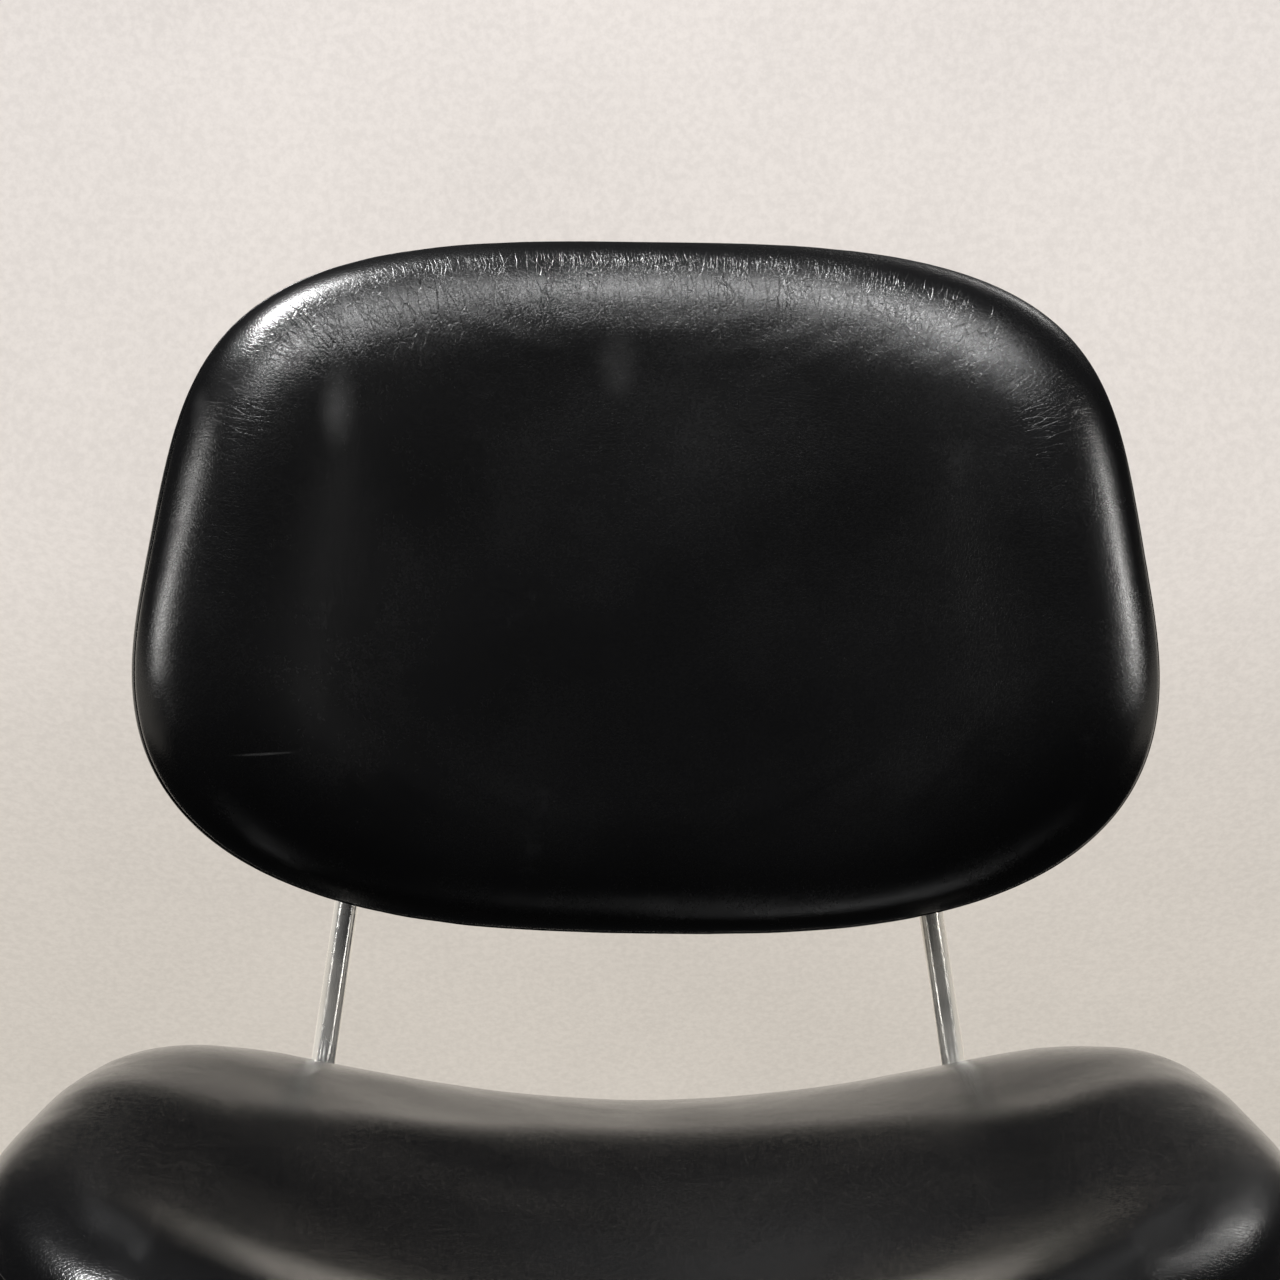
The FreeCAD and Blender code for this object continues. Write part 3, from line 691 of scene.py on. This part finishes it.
def dust_cover_piece():
    """The thin cloth stapled over the seat's underside, hanging a little between its staples."""
    dx, dy, border, quads = disc_grid(96)
    angle, share = np.arctan2(dy, dx), np.hypot(dx, dy)
    edge_x, edge_y = inset_loop(SEAT, angle, STAPLED_IN)
    x, y = edge_x * share, edge_y * share
    slack = 2.2 * MM * (1 - share ** 2)
    near_edge = smooth_step(share, 0.75, 1.0) * (1 - smooth_step(share, 0.97, 1.0))
    pucker = 0.5 * MM * near_edge * np.cos(STAPLES * angle)
    height = SEAT.rear - DUST_COVER_T - slack + pucker + SEAT.base(x, SEAT.rear)
    points = world_points(SEAT, np.stack([x, y, height], axis=1))
    piece = new_piece("dust_cover", points, quads[:, ::-1], BY_SLOT["dust_cloth"], "chair_frame")
    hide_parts("seat_dust_cover")


dust_cover_piece()


# ---- stage and lights ---------------------------------------------------------------------------


def add_area(name, place, aim, size, power, colour):
    data = bpy.data.lights.new(name, "AREA")
    data.shape = "RECTANGLE"
    data.size, data.size_y = size
    data.energy = power
    data.color = colour
    light = bpy.data.objects.new(name, data)
    light.location = place
    light.rotation_mode = "QUATERNION"
    light.rotation_quaternion = (Vector(aim) - Vector(place)).to_track_quat("-Z", "Y")
    light.visible_camera = False
    bpy.context.scene.collection.objects.link(light)


def stage_mesh(name, points, faces, material):
    mesh = bpy.data.meshes.new(name)
    mesh.from_pydata(points, [], faces)
    mesh.materials.append(material)
    thing = bpy.data.objects.new(name, mesh)
    bpy.context.scene.collection.objects.link(thing)
    return thing


def plaster_with_painted_falloff(s, low, middle, high):
    """A pale rough wall's glow with painted light: three given stops by level, darker low down and near the
    middle, lighter high up and far out, with a fine mottle seen from the middle.
    """
    sight = s.node("ShaderNodeVectorMath", operation="SUBTRACT")
    sight.inputs[1].default_value = (0.0, 0.0, 0.8)
    s.link(s.place, sight.inputs[0])
    towards = s.node("ShaderNodeVectorMath", operation="NORMALIZE")
    s.link(sight.outputs["Vector"], towards.inputs[0])
    where = towards.outputs["Vector"]
    grain = s.math("ADD", s.ramp(s.noise(260.0, 4.0, 0.7, where), 0.30, 0.70, -0.05, 0.05),
                   s.ramp(s.noise(5.0, 2.0, 0.5, where), 0.3, 0.7, -0.03, 0.03))
    away = s.node("ShaderNodeVectorMath", operation="LENGTH")
    s.link(s.place, away.inputs[0])
    height = s.node("ShaderNodeSeparateXYZ")
    s.link(s.place, height.inputs[0])
    # painted light: the glow's level rises with distance from the middle and with height
    level = s.math("ADD", s.math("MULTIPLY", away.outputs["Value"], 0.12),
                   s.math("MULTIPLY", s.math("MAXIMUM", height.outputs["Z"], 0.0), 0.30))
    tone = s.colours(level, (0.14, low), (0.40, middle), (0.78, high))
    bright = s.node("ShaderNodeVectorMath", operation="SCALE")
    s.link(tone, bright.inputs[0])
    s.link(s.math("ADD", grain, 1.0), bright.inputs["Scale"])
    return bright.outputs["Vector"]


# Glow tones of the backdrop, painted light: darker and warmer low down, lighter high up and far out.
LOW_TONE, MIDDLE_TONE, HIGH_TONE = (0.620, 0.570, 0.508), (0.735, 0.680, 0.630), (0.815, 0.760, 0.720)
BLACK = (0.0, 0.0, 0.0, 1.0)


def glowing(name, **sockets):
    """A material under construction that glows and has no gloss."""
    return Shader(name, Emission_Strength=1.0, Specular_IOR_Level=0.0, **sockets)


def seamless_paint():
    """A self-lit pale wall with painted light: warmer and darker low down, and lighter towards the top."""
    s = glowing("seamless_plaster", Roughness=0.9, Base_Color=BLACK)
    s.feed("Emission Color", plaster_with_painted_falloff(s, LOW_TONE, MIDDLE_TONE, HIGH_TONE))
    return s.material


def floor_paint():
    """Ground that takes the chair's shadow near its feet, and glows further out, with painted light that grows a
    little lighter with distance.
    """
    s = glowing("floor_plaster", Roughness=0.85)
    away = s.node("ShaderNodeVectorMath", operation="LENGTH")
    s.link(s.place, away.inputs[0])
    far = s.ramp(away.outputs["Value"], 0.42, 0.95)
    s.feed("Base Color", s.mix(far, (0.40, 0.37, 0.34), (0.0, 0.0, 0.0)))
    s.feed("Emission Color", s.mix(far, (0.22, 0.20, 0.18), plaster_with_painted_falloff(s, LOW_TONE, MIDDLE_TONE, HIGH_TONE)))
    return s.material


def add_room():
    """A round paper sweep behind and under the chair. Its wall lights nothing and isn't in reflections."""
    radius, height, sides = 4.2, 4.5, 96
    ring = [(radius * math.cos(2 * math.pi * i / sides), radius * math.sin(2 * math.pi * i / sides))
            for i in range(sides)]
    points = [(x, y, -0.002) for x, y in ring] + [(x, y, height) for x, y in ring]
    faces = [(i, (i + 1) % sides, sides + (i + 1) % sides, sides + i) for i in range(sides)]
    faces.append(tuple(range(sides, 2 * sides)))
    wall = stage_mesh("wall", points, faces, seamless_paint())
    wall.visible_glossy = wall.visible_diffuse = wall.visible_shadow = False
    floor = stage_mesh("floor", [(x, y, -0.001) for x, y in ring], [tuple(range(sides))], floor_paint())
    floor.visible_diffuse = floor.visible_glossy = False


def fading_glow(name, low, high, start, top):
    """A card's glow that goes from low to high between two heights."""
    s = glowing(name, Base_Color=BLACK)
    height = s.node("ShaderNodeSeparateXYZ")
    s.link(s.place, height.inputs[0])
    s.feed("Emission Color", s.mix(s.ramp(height.outputs["Z"], start, top), low, high))
    return s.material


def add_card(name, points, material):
    """A flat glowing card that only reflections see."""
    card = stage_mesh(name, points, [(0, 1, 2, 3)], material)
    card.visible_camera = card.visible_diffuse = card.visible_shadow = False


def add_reflected_wall():
    """The pale wall behind the chair and the pale surroundings low at its sides, as its gloss sees them."""
    wall_glow = fading_glow("wall_glow", (0.88, 0.81, 0.72), (0.03, 0.03, 0.03), 0.50, 0.62)
    add_card("wall_card", [(-2.4, 1.7, 0.0), (2.4, 1.7, 0.0), (2.4, 1.7, 1.9), (-2.4, 1.7, 1.9)], wall_glow)
    add_card("ground_card", [(-2.4, 0.75, 0.002), (2.4, 0.75, 0.002), (2.4, 1.7, 0.002), (-2.4, 1.7, 0.002)],
             wall_glow)
    side_glow = fading_glow("side_glow", (0.70, 0.66, 0.60), (0.45, 0.43, 0.40), 0.5, 0.9)
    for side in (-1, 1):
        x = 1.9 * side
        add_card(f"side_card_{side}", [(x, -0.9, 0.0), (x, 1.5, 0.0), (x, 1.5, 0.75), (x, -0.9, 0.75)], side_glow)


def add_lights():
    white, warm = (1.0, 1.0, 1.0), (1.0, 0.985, 0.96)
    add_area("key", (-0.78, 0.42, 2.55), (-0.1, 0.2, 0.7), (0.42, 0.40), 70, white)
    add_area("top", (-0.15, -0.55, 2.5), (0, 0.2, 0.7), (1.0, 0.55), 5, white)
    add_area("top_left", (-0.26, -0.78, 2.43), (0, 0.2, 0.7), (0.30, 0.20), 13, white)
    add_area("top_right", (0.24, -0.74, 2.44), (0, 0.2, 0.7), (0.34, 0.20), 6, white)
    add_area("left", (-1.66, -0.86, 1.34), (-0.1, 0.2, 0.6), (0.24, 0.60), 13, warm)
    add_area("right", (1.64, -0.90, 1.38), (0.1, 0.2, 0.6), (0.24, 0.64), 17, warm)
    add_area("rear", (1.2, 2.4, 2.2), (0, 0, 0.4), (1.2, 0.8), 26, warm)
    world = bpy.data.worlds.new("dim_room")
    bpy.context.scene.world = world
    world.use_nodes = True
    background = world.node_tree.nodes["Background"]
    background.inputs["Color"].default_value = (0.95, 0.97, 1.0, 1)
    background.inputs["Strength"].default_value = 0.02


add_room()
add_reflected_wall()
add_lights()

bpy.context.scene.view_settings.view_transform = "Standard"
